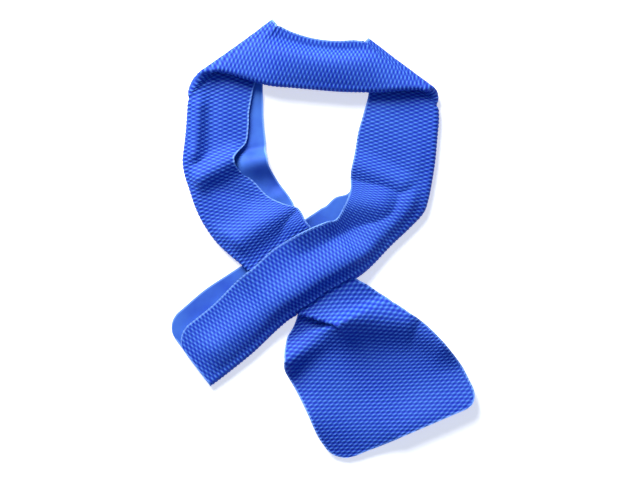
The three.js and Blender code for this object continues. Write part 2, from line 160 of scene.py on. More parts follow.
# Share of the way from fold to free edge, and height in layers of the upper leaf,
# where the strip stands up as a collar at the back of the neck.
ARCH_PROFILE = (
    (0, 6.6), (0.12, 7.4), (0.3, 8.2), (0.45, 8.5), (0.57, 8.1),
    (0.66, 6.8), (0.73, 5.0), (0.78, 3.7), (0.81, 3.4), (0.85, 3.7), (1, 3.9),
)

# Sections of the open end, from where the lower leaf starts to turn back on itself.
# x and y are where leaf one meets the pleat. way_in points to the edge of leaf one and
# way_out to the edge of leaf two. one, pleat and flap are widths in shares of the
# strip's width. turn is how far the pleat turns. fold and the edges are heights.
OPEN_COLUMNS = (
    "x", "y", "way_in", "way_out", "one", "pleat", "flap", "turn", "fold", "edge_one", "edge_two",
)
OPEN_END = (
    (-0.052, -0.0495, 36.5, 216.5, 0.455, 0.36, 0.08, 180, 3.4, 3.4, 1.15),
    (-0.039, -0.0615, 36, 216, 0.445, 0.31, 0.18, 180, 3.45, 3.45, 1.15),
    (-0.023, -0.0715, 32, 214, 0.41, 0.25, 0.25, 180, 3.45, 3.45, 1.15),
    (-0.010, -0.0755, 28.5, 208, 0.40, 0.17, 0.285, 178, 4.4, 2.6, 0.5),
    (0.004, -0.080, 25.5, 202, 0.38, 0.07, 0.31, 170, 5.6, 1.6, 0.2),
    (0.012, -0.082, 24.5, 201.5, 0.364, 0.025, 0.309, 135, 5.4, 1.2, 0.1),
    (0.019, -0.0845, 23.5, 201, 0.352, 0.015, 0.327, 95, 4.4, 0.9, 0.1),
    (0.024, -0.0885, 21.5, 201, 0.368, 0.015, 0.345, 60, 3.2, 0.6, 0.0),
    (0.028, -0.093, 19.5, 201.5, 0.388, 0.02, 0.360, 35, 2.0, 0.3, 0.0),
    (0.031, -0.105, 17, 201.5, 0.465, 0.02, 0.368, 12, 0.8, 0.0, 0.0),
    (0.040, -0.125, 20.5, 203, 0.51, 0.02, 0.355, 0, 0.3, 0.0, 0.0),
    (0.051, -0.145, 24.5, 204.5, 0.53, 0.02, 0.36, 0, 0.1, 0.0, 0.0),
    (0.063, -0.165, 26.5, 204, 0.541, 0.02, 0.377, 0, 0.0, 0.0, 0.0),
    (0.078, -0.181, 24.5, 203, 0.504, 0.02, 0.400, 0, 0.0, 0.0, 0.0),
    (0.090, -0.192, 23, 203, 0.485, 0.02, 0.42, 0, 0.0, 0.0, 0.0),
)

# The slit in the fold lies between these two sections of the right band, and goes this
# far to either side of the fold's middle.
SLIT_SECTIONS = (5.35, 8.6)
SLIT_REACH = (-5.4, 9.0)

# Soft ridges and hollows of the upper face: x, y, to_x, to_y and half width as shares
# of the strip's length, and the rise in layers. Near a fold they begin over the first
# part of the leaf, one in RIDGE_START of its width. The lower leaf's begin where the
# upper leaf no longer covers it.
RIDGE_START = 7
COVERED_SHARE = 0.48
LEAF_RIDGES = (
    (-0.127, 0.132, -0.129, 0.088, 0.010, 2.6),
    (-0.110, 0.150, -0.112, 0.090, 0.009, -0.8),
    (-0.086, 0.081, -0.130, 0.056, 0.011, 3.4),
    (-0.104, 0.054, -0.072, 0.040, 0.010, -0.8),
    (-0.084, 0.000, -0.118, 0.003, 0.011, 2.4),
    (-0.084, -0.002, -0.034, 0.030, 0.015, 3.0),
    (0.028, 0.076, 0.080, 0.056, 0.012, 2.2),
    (0.060, 0.120, 0.092, 0.080, 0.020, 0.8),
    (-0.020, 0.016, 0.024, 0.036, 0.019, 3.6),
    (0.024, 0.036, 0.060, 0.036, 0.018, 3.6),
    (0.016, 0.002, 0.058, -0.002, 0.011, -1.0),
    (0.088, 0.038, 0.055, 0.000, 0.015, 2.4),
    (0.055, 0.000, -0.035, -0.056, 0.017, 3.4),
    (-0.035, -0.056, -0.104, -0.108, 0.017, 2.8),
)
LOWER_RIDGES = (
    (-0.084, 0.073, -0.050, 0.079, 0.013, 4.0),
    (-0.086, 0.086, -0.056, 0.092, 0.005, -0.8),
    (-0.040, 0.044, -0.018, 0.024, 0.007, 1.3),
)
OPEN_RIDGES = (
    (0.026, -0.078, 0.085, -0.080, 0.021, 6.0),
    (0.085, -0.080, 0.122, -0.100, 0.018, 4.4),
    (0.018, -0.087, -0.034, -0.121, 0.011, 5.8),
    (-0.006, -0.180, 0.080, -0.190, 0.026, 3.8),
    (0.080, -0.190, 0.150, -0.172, 0.026, 3.8),
)

# How the flat pattern is worked out. The strip runs square to its sections, except near
# the corners: there it keeps the direction of the last square section. TOP_HEADINGS are
# the strip's directions at the two ends of the top band, in degrees.
RIGHT_STRAIGHT = 17
LEFT_STRAIGHT = 4
TOP_HEADINGS = (176, 170)
EVENING_SWEEPS = 400
EVENING_SHARE = 0.9

# Rows are set twice as close where the widest steps, at this percentile, are more than the
# limit times as long as the mean step along the strip. The small lengths keep these sums
# clear of nought.
SPREAD_LIMIT = 2.0
SPREAD_PERCENTILE = 95
SHORTEST_STEP = 1e-3
LEAST_RISE = 1e-6
NEARLY_NOUGHT = 1e-9

# The embossed mesh: cells for each bump either way, lines on each side of the fold that
# are set twice as close, and lines on each side in all. Points nearer than the weld
# distance are joined. Each face of the mesh is of one of three kinds.
CELLS_PER_BUMP = 4
FOLD_LINES = 4
SIDE_LINES = 40
WELD_DISTANCE = 0.02
EMBOSSED, SMOOTH, CUT = 0, 1, 2

# The sheet's colour runs from painted shade in the valleys to a painted highlight on the bumps by a
# tone: the share that the bumps give, and what the clouds give on the embossed face and more on the
# smooth one. The clouds are the sheet's own uneven tone.
# Noise scales are in turns per metre. The shader's own relief is a share of the depth.
BUMP_SHARPNESS = 2.0
BUMP_SHADE_TONE = 0.95
CLOUD_TONE = 0.2
SMOOTH_CLOUD_TONE = 0.9
CLOUD_SCALE = 28.0
CLOUD_DETAIL = 3.0
PORE_SCALE = 900.0
PORE_DETAIL = 4.0
PORE_ROUGHNESS = 0.2
PORE_HEIGHT = 0.12
RELIEF_STRENGTH = 0.5
SHEET_SPECULAR = 0.12

# The stage, in metres.
FLOOR_SIDE = 8.0
KEY_PLACE = (-0.8, 1.45, 1.05)
KEY_SIZE = 1.2
SENSOR_WIDTH = 36.0
FLOOR_ROUGHNESS = 0.9

# The photograph's frame: pixels, and the pixel over which the strip's origin lies.
PHOTO_WIDTH = 640
PHOTO_ORIGIN = (321, 240)
PHOTO_CENTRE = (320, 240)
PIXEL = STRIP_LENGTH / 1000


# The smooth sheet, worked out section by section.

def smooth_value(a, b, c, d, t):
    """A smooth curve through four values in a row."""
    slope_in = (c - a) / 2
    slope_out = (d - b) / 2
    return ((2 * t**3 - 3 * t**2 + 1) * b + (t**3 - 2 * t**2 + t) * slope_in
            + (3 * t**2 - 2 * t**3) * c + (t**3 - t**2) * slope_out)


def refined(rows, names, steps):
    """Adds sections between the ones of a table, on a smooth curve through them."""
    values = np.array(rows, float)
    last = len(values) - 1
    result = []
    for i in range(last):
        around = [values[min(max(k, 0), last)] for k in (i - 1, i, i + 1, i + 2)]
        result += [smooth_value(*around, k / steps) for k in range(steps)]
    result.append(values[last])
    return [dict(zip(names, row)) for row in result]


def direction(degrees):
    """The level direction at this angle, seen from above."""
    return np.array([math.cos(math.radians(degrees)), math.sin(math.radians(degrees)), 0.0])


def height_of(layers):
    """Height of the middle of the sheet on this many layers."""
    return SHEET_THICKNESS / 2 + layers * LAYER


def corner_inset(from_end):
    """How much the rounded corner takes off the width at this distance from the end."""
    short = max(CORNER_RADIUS - from_end, 0.0)
    return CORNER_RADIUS - math.sqrt(CORNER_RADIUS**2 - short**2)


def ridge_rise(ridges, points):
    """How far a table's ridges and hollows lift each point: the highest of the ridges and
    the lowest of the hollows, not their sum."""
    high, low = np.zeros(len(points)), np.zeros(len(points))
    for x, y, to_x, to_y, half, height in ridges:
        start = np.array([x, y]) * STRIP_LENGTH
        along = np.array([to_x, to_y]) * STRIP_LENGTH - start
        length = np.linalg.norm(along)
        along /= length
        offset = points[:, :2] - start
        run = offset @ along
        past = np.maximum(np.maximum(-run, run - length), 0)
        side = offset[:, 0] * along[1] - offset[:, 1] * along[0]
        rise = height * np.exp(-(side**2 + past**2) / (half * STRIP_LENGTH) ** 2)
        high, low = np.maximum(high, rise), np.minimum(low, rise)
    return (high + low) * LAYER


def arch_at(share):
    """The arched profile's height in layers at each share of the width."""
    knots = np.array(ARCH_PROFILE)
    last = len(knots) - 1
    i = np.clip(np.searchsorted(knots[:, 0], share, side="right") - 1, 0, last - 1)
    around = [knots[np.clip(i + k, 0, last), 1] for k in (-1, 0, 1, 2)]
    t = (share - knots[i, 0]) / (knots[i + 1, 0] - knots[i, 0])
    return smooth_value(*around, t)


def leaf_heights(row, share, reach):
    """Heights in layers of the two leaves at shares of the way from fold to free edge."""
    easy = (share * (2 - share) + share) / 2
    one = row["fold_one"] + (row["edge_one"] - row["fold_one"]) * easy
    two = row["fold_two"] + (row["edge_two"] - row["fold_two"]) * easy
    arch = row["arch"]
    if arch > 0:
        low, high = np.maximum(share - SLOPE_STEP, 0), np.minimum(share + SLOPE_STEP, 1)
        slope = (arch_at(high) - arch_at(low)) * LAYER / ((high - low) * reach)
        depth = abs(row["fold_one"] - row["fold_two"])
        wanted = LEAVES_APART * np.hypot(1, slope * arch)
        apart = depth + (wanted - depth) * np.minimum(share / APART_SHARE, 1)
        two = two + (arch_at(share) - two) * arch
        one = np.maximum(one + (two - apart - one) * min(arch / ARCH_SHARE, 1), 0)
    return one, two


def folded_section(row, from_end=STRIP_LENGTH):
    """Middle of the sheet across one folded section: leaf one, fold, leaf two."""
    edge = np.array([row["x"], row["y"], 0.0]) * STRIP_LENGTH
    inward = direction(row["way"])
    radius = abs(row["fold_one"] - row["fold_two"]) * LAYER / 2
    inset = corner_inset(from_end)
    reach_one = row["one"] * STRIP_WIDTH - inset
    reach_two = row["two"] * STRIP_WIDTH - inset

    def placed(reach, layers):
        points = edge + np.asarray(reach)[:, None] * inward
        points[:, 2] = height_of(np.asarray(layers))
        return points

    share = np.arange(LEAF_STEPS, 0, -1) / LEAF_STEPS
    leaf_one = placed(radius + (reach_one - radius) * share, leaf_heights(row, share, reach_one)[0])
    if row["fold_one"] > row["fold_two"]:
        leaf_one[:, 2] += ridge_rise(LEAF_RIDGES, leaf_one) * np.minimum(share * RIDGE_START, 1)
    angle = np.pi * np.arange(FOLD_STEPS + 1) / FOLD_STEPS
    middle = (row["fold_one"] + row["fold_two"]) / 2
    half = (row["fold_one"] - row["fold_two"]) / 2
    fold = placed(radius * (1 - np.sin(angle)), middle + half * np.cos(angle))
    share = share[::-1]
    leaf_two = placed(radius + (reach_two - radius) * share, leaf_heights(row, share, reach_two)[1])
    if row["fold_one"] > row["fold_two"]:
        bare = np.clip((share - COVERED_SHARE) / (1 - COVERED_SHARE) * 2, 0, 1)
        leaf_two[:, 2] += ridge_rise(LOWER_RIDGES, leaf_two) * bare
    return np.vstack([leaf_one, fold, leaf_two])


def open_section(row, from_end):
    """Middle of the sheet across one open section: leaf one, pleat, flap of leaf two."""
    start = np.array([row["x"], row["y"], 0.0]) * STRIP_LENGTH
    inward, outward = direction(row["way_in"]), direction(row["way_out"])
    inset = corner_inset(from_end)
    openness = min(max((180 - row["turn"]) / OPENING_TURN, 0), 1)
    share = np.arange(LEAF_STEPS, -1, -1) / LEAF_STEPS
    leaf = start + (share * (row["one"] * STRIP_WIDTH - inset))[:, None] * inward
    leaf[:, 2] = height_of(row["fold"] + (row["edge_one"] - row["fold"]) * share)
    leaf[:, 2] += ridge_rise(OPEN_RIDGES, leaf) * openness
    turn = max(math.radians(row["turn"]), LEAST_TURN)
    radius = math.pi * PLEAT_RADIUS / turn
    pleat = row["pleat"] * STRIP_WIDTH
    lengths, turns = [], []
    bends = ((None, turn, FOLD_STEPS), (pleat, 0.0, LEAF_STEPS), (None, -turn, PLEAT_STEPS))
    for length, turned, steps in bends:
        if length is None:
            chord = 2 * radius * math.sin(abs(turned) / steps / 2)
        else:
            chord = length / steps
        lengths += [chord] * steps
        turns += [turned / steps] * steps
    turns = np.array(turns)
    heading = np.cumsum(turns) - turns / 2
    run = np.cumsum(np.array(lengths) * np.cos(heading))
    drop = np.cumsum(np.array(lengths) * np.sin(heading))
    bent = leaf[-1] + run[:, None] * outward
    bent[:, 2] = leaf[-1, 2] - drop
    share = np.arange(1, FLAP_STEPS + 1) / FLAP_STEPS
    flap = bent[-1] + (share * (row["flap"] * STRIP_WIDTH - inset))[:, None] * outward
    rest = height_of(row["edge_two"])
    flap[:, 2] = rest + (bent[-1, 2] - rest) * (1 - share) ** FLAP_FALL
    flap[:, 2] += ridge_rise(OPEN_RIDGES, flap) * openness * share
    return np.vstack([leaf, bent, flap])


# A band's sections in order: its folds' places, and for each section its points, the
# angle at which it leans against the way the strip runs, how far each point reaches from
# the fold, how far the fold has gone along and across the strip, and the way ahead.
Band = namedtuple("Band", "folds points lean reach run drift ahead")

# One section of the whole strip, with the same values. ahead is None round a corner.
Section = namedtuple("Section", "points lean reach along across ahead")


def summed_from_nought(steps):
    return np.concatenate([[0], np.cumsum(steps)])


def band_run(rows, points, headings, side):
    """A band with what the flat pattern needs. side says to which side of the fold the
    upper leaf's drift across the strip counts."""
    folds = np.array([[row["x"], row["y"]] for row in rows]) * STRIP_LENGTH
    ways = np.array([row["way"] if "way" in row else row["way_in"] for row in rows])
    inward = np.array([direction(way)[:2] for way in ways])
    ahead = np.array([direction(angle)[:2] for angle in headings])
    lean = np.radians(np.abs((ways - headings + 180) % 360 - 180))
    square = np.stack([-ahead[:, 1], ahead[:, 0]], axis=1)
    square *= np.sign((square * inward).sum(axis=1))[:, None]
    steps = np.diff(folds, axis=0)
    run = (steps * (ahead[1:] + ahead[:-1]) / 2).sum(axis=1)
    drift = (steps * (square[1:] + square[:-1]) / 2).sum(axis=1) * side
    reach = [(row[:, :2] - fold) @ way for row, fold, way in zip(points, folds, inward)]
    run, drift = summed_from_nought(run), summed_from_nought(drift)
    return Band(folds, points, lean, reach, run, drift, ahead)


def strip_bands():
    """The four bands from the folded end to the open end, and which way each corner
    bulges out."""
    right = refined(RIGHT_BAND, COLUMNS, SECTION_STEPS)
    top = refined(TOP_BAND, COLUMNS, SECTION_STEPS)
    left = refined(LEFT_BAND, COLUMNS, SECTION_STEPS)
    opened = refined(OPEN_END, OPEN_COLUMNS, SECTION_STEPS)

    def far_from(rows, end):
        return [math.hypot(r["x"] - end["x"], r["y"] - end["y"]) * STRIP_LENGTH for r in rows]

    right_ways = np.array([row["way"] for row in right])
    left_ways = np.array([row["way"] for row in left])
    open_ways = np.array([row["way_in"] for row in opened])
    right_ways[RIGHT_STRAIGHT * SECTION_STEPS:] = right_ways[RIGHT_STRAIGHT * SECTION_STEPS]
    left_ways[:LEFT_STRAIGHT * SECTION_STEPS] = left_ways[LEFT_STRAIGHT * SECTION_STEPS]
    top_ways = np.linspace(*TOP_HEADINGS, len(top))
    right_points = [folded_section(r, d) for r, d in zip(right, far_from(right, right[0]))]
    open_points = [open_section(r, d) for r, d in zip(opened, far_from(opened, opened[-1]))]
    bands = (
        band_run(right, right_points, right_ways - 90, -1),
        band_run(top, [folded_section(r) for r in top], top_ways, 1),
        band_run(left, [folded_section(r) for r in left], left_ways - 90, -1),
        band_run(opened, open_points, open_ways - 90, -1),
    )
    return bands, (direction(right[-1]["way"] - 90), direction(left[0]["way"] + 90))


def corner_roll(before, after, outward):
    """Rolls a section over a corner: each point goes round half a circle."""
    rows = []
    radius = np.abs(after[:, 2] - before[:, 2]) / 2
    for k in range(1, ROLL_STEPS):
        angle = math.pi * k / ROLL_STEPS
        share = (1 - math.cos(angle)) / 2
        bulge = (radius * math.sin(angle))[:, None] * outward
        rows.append(before + (after - before) * share + bulge)
    return rows


def corner_sections(before, after, outward, along, across):
    """The sections round the corner between two bands, and how far along it ends."""
    rolled = corner_roll(before.points[-1], after.points[0], outward)
    chain = [before.points[-1], *rolled, after.points[0]]
    sections = []
    for k, (points, following) in enumerate(zip(chain, chain[1:])):
        along += np.linalg.norm(following - points, axis=1)[FOLD_MIDDLE:].mean()
        if k < len(rolled):
            share = (k + 1) / ROLL_STEPS
            lean = before.lean[-1] + (after.lean[0] - before.lean[-1]) * share
            reach = before.reach[-1] + (after.reach[0] - before.reach[-1]) * share
            sections.append(Section(following, lean, reach, along, across, None))
    return sections, along


def strip_sections():
    """All sections from the folded end to the open end, and the number of the first one
    of the open end."""
    (right, top, left, opened), bulges = strip_bands()
    sections = []
    along = across = 0.0

    def add(band):
        for k, points in enumerate(band.points):
            sections.append(Section(
                points, band.lean[k], band.reach[k], along + band.run[k], across + band.drift[k],
                band.ahead[k],
            ))
        return along + band.run[-1], across + band.drift[-1]

    along, across = add(right)
    for before, after, outward in ((right, top, bulges[0]), (top, left, bulges[1])):
        corner, along = corner_sections(before, after, outward, along, across)
        sections += corner
        along, across = add(after)
    first_open = len(sections)
    along += (opened.folds[0] - left.folds[-1]) @ opened.ahead[0]
    add(opened)
    return sections, first_open


# The flat pattern: how far along and across the strip each place is.

def section_grid(lines):
    """Every section sampled on the same lines along the strip: places, tangents across,
    distances along and across, and which lines are inside the section's edges."""
    sections, first_open = strip_sections()
    names = ("places", "tangents", "across", "along", "reach", "inside", "rim")
    rows = {name: [] for name in names}
    for number, (points, lean, reach, along, across, _) in enumerate(sections):
        steps = np.hypot(np.diff(reach) * math.sin(lean), np.diff(points[:, 2]))
        width = summed_from_nought(steps)
        width -= width[FOLD_MIDDLE]
        at = np.clip(lines, width[0], width[-1])
        tangent = np.gradient(points, axis=0)

        def sampled(values):
            return np.interp(at, width, values)

        rows["places"].append(np.stack([sampled(points[:, k]) for k in range(3)], axis=1))
        rows["tangents"].append(np.stack([sampled(tangent[:, k]) for k in range(3)], axis=1))
        shown = width + across
        if number >= first_open:
            shown[FOLD_MIDDLE:] = across - (reach[FOLD_MIDDLE:] - reach[FOLD_MIDDLE])
        rows["across"].append(sampled(shown))
        rows["reach"].append(sampled(reach) * math.cos(lean))
        rows["along"].append(along + rows["reach"][-1])
        rows["inside"].append((lines >= width[0]) & (lines <= width[-1]))
        rows["rim"].append(np.minimum(at - width[0], width[-1] - at))
    rows = {name: np.array(values) for name, values in rows.items()}
    steps = np.diff(rows["places"], axis=0, prepend=rows["places"][:1])
    gone = np.cumsum(np.linalg.norm(steps, axis=2), axis=0)
    rows["rim"] = np.minimum(rows["rim"], np.minimum(gone, gone[-1] - gone))
    return rows, sections


def distance_along(rows, sections):
    """How far along the strip each place of the grid is: what its section and fold say,
    evened out between neighbours so that the pattern keeps its size where bands bend."""
    steps = np.diff(rows["places"], axis=0)
    forward = np.linalg.norm(steps, axis=2)
    for i, (one, two) in enumerate(zip(sections, sections[1:])):
        if one.ahead is not None and two.ahead is not None:
            forward[i] = steps[i, :, :2] @ ((one.ahead + two.ahead) / 2)
    sideways = np.diff(rows["reach"], axis=1)
    inside = rows["inside"]
    up_down = (inside[:-1] & inside[1:]).astype(float)
    left_right = (inside[:, :-1] & inside[:, 1:]).astype(float)
    along = rows["along"]
    weight = np.zeros_like(along)
    weight[1:] += up_down
    weight[:-1] += up_down
    weight[:, 1:] += left_right
    weight[:, :-1] += left_right
    for _ in range(EVENING_SWEEPS):
        total = np.zeros_like(along)
        total[1:] += (along[:-1] + forward) * up_down
        total[:-1] += (along[1:] - forward) * up_down
        total[:, 1:] += (along[:, :-1] + sideways) * left_right
        total[:, :-1] += (along[:, 1:] - sideways) * left_right
        evened = np.where(weight > 0, total / np.maximum(weight, 1), along)
        along = along + (evened - along) * EVENING_SHARE
    return along


def station_rows(rows, along, step, lines):
    """Where along the list of sections the mesh has its rows: a whole number of steps
    along the strip, and twice as many where a corner spreads them."""
    leaves = rows["inside"] & (lines != 0)
    mean = (along * leaves).sum(axis=1) / leaves.sum(axis=1)
    mean = np.maximum.accumulate(mean) + np.arange(len(mean)) * LEAST_RISE
    lengths = np.linalg.norm(np.diff(rows["places"], axis=0), axis=2)
    widest = np.percentile(lengths, SPREAD_PERCENTILE, axis=1)
    spread = widest / np.maximum(np.diff(mean), SHORTEST_STEP)
    half_step = step / 2
    halves = np.arange(math.ceil(mean[0] / half_step), math.floor(mean[-1] / half_step) + 1)
    at = np.interp(halves * half_step, mean, np.arange(len(mean)))
    close = spread[np.minimum(at.astype(int), len(spread) - 1)] > SPREAD_LIMIT
    at = at[(halves % 2 == 0) | close]
    at = np.unique(np.concatenate([[0], at, [len(mean) - 1]]))
    if len(at) % 2 == 0:
        at = np.insert(at, 1, at[:2].mean())
    return at


def unit(vectors):
    lengths = np.linalg.norm(vectors, axis=2, keepdims=True)
    return vectors / np.maximum(lengths, NEARLY_NOUGHT)


def embossed_grid(pitch_along, pitch_across):
    """The sheet on a grid that keeps step with the embossing: places, outward directions,
    distances along and across and from the rim, and the coarse cells that the slit leaves."""
    across_step = pitch_across / CELLS_PER_BUMP
    fine = np.arange(-FOLD_LINES * 2, FOLD_LINES * 2 + 1) * across_step / 2
    far = np.arange(FOLD_LINES + 1, SIDE_LINES + 1) * across_step
    lines = np.concatenate([-far[::-1], fine, far])
    rows, sections = section_grid(lines)
    along = distance_along(rows, sections)
    normals = unit(np.cross(rows["tangents"], np.gradient(rows["places"], axis=0)))
    at = station_rows(rows, along, pitch_along / CELLS_PER_BUMP, lines)
    low = np.minimum(at.astype(int), len(along) - 2)
    share = (at - low)[:, None]

    def between(values):
        part = share.reshape(share.shape + (1,) * (values.ndim - 2))
        return values[low] * (1 - part) + values[low + 1] * part

    flat = np.stack([between(along), between(rows["across"])], axis=-1)
    solid = np.ones(((len(at) - 1) // 2, (len(lines) - 1) // 2), bool)
    start, end = (int(np.searchsorted(at, round(k * SECTION_STEPS))) // 2 for k in SLIT_SECTIONS)
    first, last = (int(np.searchsorted(lines, reach)) // 2 for reach in SLIT_REACH)
    solid[start:end, first:last] = False
    return between(rows["places"]), unit(between(normals)), flat, between(rows["rim"]), solid


def quads(numbers, keep):
    """The cells of a grid of point numbers, those that are kept."""
    corners = (numbers[:-1, :-1], numbers[:-1, 1:], numbers[1:, 1:], numbers[1:, :-1])
    return np.stack(corners, axis=-1)[keep].tolist()


def cut_walls(fine, coarse, solid):
    """A face along each side of a cell that has no neighbour, from the fine grid's points
    on the embossed face to the coarse grid's on the smooth one."""
    kept = np.pad(solid, 1)
    walls = []
    for i, k in zip(*np.nonzero(solid)):
        sides = (
            (kept[i, k + 1], (i, k), (i, k + 1)),
            (kept[i + 2, k + 1], (i + 1, k + 1), (i + 1, k)),
            (kept[i + 1, k], (i + 1, k), (i, k)),
            (kept[i + 1, k + 2], (i, k + 1), (i + 1, k + 1)),
        )
        for joined, start, end in sides:
            if not joined:
                upper = (
                    fine[2 * end[0], 2 * end[1]],
                    fine[start[0] + end[0], start[1] + end[1]],
                    fine[2 * start[0], 2 * start[1]],
                )
                walls.append([int(number) for number in (*upper, coarse[start], coarse[end])])
    return walls


def sheet_mesh(name, grid, outward, flat, rim, solid, depth):
    """One closed body: the embossed face at full fineness, the smooth face at half, and
    a wall along each cut. Values on the points say how the embossing lifts them."""
    half = SHEET_THICKNESS / 2

    def both(embossed, smooth):
        return np.concatenate([part.reshape(-1, *part.shape[2:]) for part in (embossed, smooth)])

    points = both(grid + outward * half, (grid - outward * half)[::2, ::2])
    fine = np.arange(rim.size).reshape(rim.shape)
    coarse = np.arange(rim.size, len(points)).reshape(rim[::2, ::2].shape)
    upper = quads(fine, np.repeat(np.repeat(solid, 2, axis=0), 2, axis=1))
    lower = [corners[::-1] for corners in quads(coarse, solid)]
    walls = cut_walls(fine, coarse, solid)
    low, high = points.min(axis=0), points.max(axis=0)
    shift = np.array([-(low[0] + high[0]) / 2, -(low[1] + high[1]) / 2, depth - low[2]])
    mesh = bpy.data.meshes.new(name)
    mesh.from_pydata(((points + shift) * MM).tolist(), [], upper + lower + walls)
    pattern = np.pad(flat * MM, ((0, 0), (0, 0), (0, 1)))
    from_rim = both(rim, rim[::2, ::2]) * MM
    from_rim[np.unique(walls)] = 0
    raised = np.ones_like(rim)
    for label, kind, field, values in (
        ("lift", "FLOAT_VECTOR", "vector", both(outward, outward[::2, ::2] * 0)),
        ("pattern", "FLOAT_VECTOR", "vector", both(pattern, pattern[::2, ::2])),
        ("embossed", "FLOAT", "value", both(raised, raised[::2, ::2] * 0)),
        ("rim", "FLOAT", "value", from_rim),
    ):
        mesh.attributes.new(label, kind, "POINT").data.foreach_set(field, values.ravel())
    kinds = [EMBOSSED] * len(upper) + [SMOOTH] * len(lower) + [CUT] * len(walls)
    mesh.attributes.new("kind", "INT", "FACE").data.foreach_set("value", kinds)
    return mesh, shift


def weld(mesh):
    """Joins places that fall together at the edges, and keeps the cut's edges crisp."""
    shape = bmesh.new()
    shape.from_mesh(mesh)
    bmesh.ops.remove_doubles(shape, verts=shape.verts, dist=WELD_DISTANCE * MM)
    kind = shape.faces.layers.int["kind"]
    for face in shape.faces:
        face.smooth = True
    for edge in shape.edges:
        around = {face[kind] for face in edge.link_faces}
        edge.smooth = not (CUT in around and len(around) > 1)
    shape.to_mesh(mesh)
    shape.free()


# Node trees.

class Chain:
    """Adds nodes to a tree, each with its inputs given as values or as other sockets."""

    def __init__(self, tree):
        self.tree = tree

    def node(self, kind, inputs=(), **settings):
        made = self.tree.nodes.new(kind)
        for key, value in settings.items():
            setattr(made, key, value)
        for key, value in dict(inputs).items():
            if isinstance(value, bpy.types.NodeSocket):
                self.tree.links.new(value, made.inputs[key])
            else:
                made.inputs[key].default_value = value
        return made

    def math(self, operation, *values):
        return self.node("ShaderNodeMath", dict(enumerate(values)), operation=operation).outputs[0]

    def relief(self, along, across, pitch_along, pitch_across, sharpness):
        """Staggered round bumps, from nought in the valleys to one on the tops."""
        turn_along = self.math("DIVIDE", along, pitch_along)
        turn_across = self.math("DIVIDE", across, pitch_across)
        wave_along = self.math("COSINE", self.math("MULTIPLY", turn_along, 2 * math.pi))
        wave_across = self.math("COSINE", self.math("MULTIPLY", turn_across, 2 * math.pi))
        wave = self.math("MULTIPLY", wave_along, wave_across)
        share = self.math("MULTIPLY_ADD", wave, 0.5, 0.5)
        return self.math("POWER", share, sharpness)

    def noise(self, scale, detail):
        place = self.node("ShaderNodeTexCoord").outputs["Object"]
        inputs = {"Vector": place, "Scale": scale, "Detail": detail}
        return self.node("ShaderNodeTexNoise", inputs).outputs["Fac"]

    def mixed(self, factor, one, two):
        inputs = {"Factor": factor, "A": one, "B": two}
        return self.node("ShaderNodeMix", inputs, data_type="RGBA").outputs["Result"]


def emboss_tree(sizes, material):
    """Lifts the embossed face into staggered bumps, row by row along the strip."""
    tree = bpy.data.node_groups.new("sheet_embossing", "GeometryNodeTree")
    inputs = {}
    face = tree.interface
    face.new_socket("Geometry", in_out="INPUT", socket_type="NodeSocketGeometry")
    for name, value in (
        ("Pitch Along", sizes.pitch_along),
        ("Pitch Across", sizes.pitch_across),
        ("Depth", sizes.depth),
    ):
        socket = face.new_socket(name, in_out="INPUT", socket_type="NodeSocketFloat")
        socket.default_value = value
        inputs[name] = (socket.identifier, value)
    socket = face.new_socket("Material", in_out="INPUT", socket_type="NodeSocketMaterial")
    inputs["Material"] = (socket.identifier, material)
    face.new_socket("Geometry", in_out="OUTPUT", socket_type="NodeSocketGeometry")
    chain = Chain(tree)
    given = tree.nodes.new("NodeGroupInput").outputs

    def attribute(name):
        kind = "GeometryNodeInputNamedAttribute"
        return chain.node(kind, {"Name": name}, data_type="FLOAT_VECTOR").outputs["Attribute"]

    parts = chain.node("ShaderNodeSeparateXYZ", {0: attribute("pattern")}).outputs
    height = chain.relief(parts["X"], parts["Y"], given["Pitch Along"], given["Pitch Across"], 1.0)
    height = chain.math("MULTIPLY", height, given["Depth"])
    offset = chain.node(
        "ShaderNodeVectorMath", {0: attribute("lift"), "Scale": height}, operation="SCALE",
    ).outputs[0]
    shape = chain.node(
        "GeometryNodeSetPosition", {"Geometry": given["Geometry"], "Offset": offset},
    ).outputs[0]
    shape = chain.node("GeometryNodeRealizeInstances", {"Geometry": shape}).outputs[0]
    shape = chain.node(
        "GeometryNodeSetMaterial", {"Geometry": shape, "Material": given["Material"]},
    ).outputs[0]
    chain.node("NodeGroupOutput", {"Geometry": shape})
    return tree, inputs


def made_plain(piece, tree, inputs):
    """Runs a node tree on a piece and keeps the result as its plain mesh."""
    modifier = piece.modifiers.new("embossing", "NODES")
    modifier.node_group = tree
    for identifier, value in inputs.values():
        modifier[identifier] = value
    evaluated = piece.evaluated_get(bpy.context.evaluated_depsgraph_get())
    mesh = bpy.data.meshes.new_from_object(evaluated)
    piece.modifiers.clear()
    piece.data = mesh
    return piece


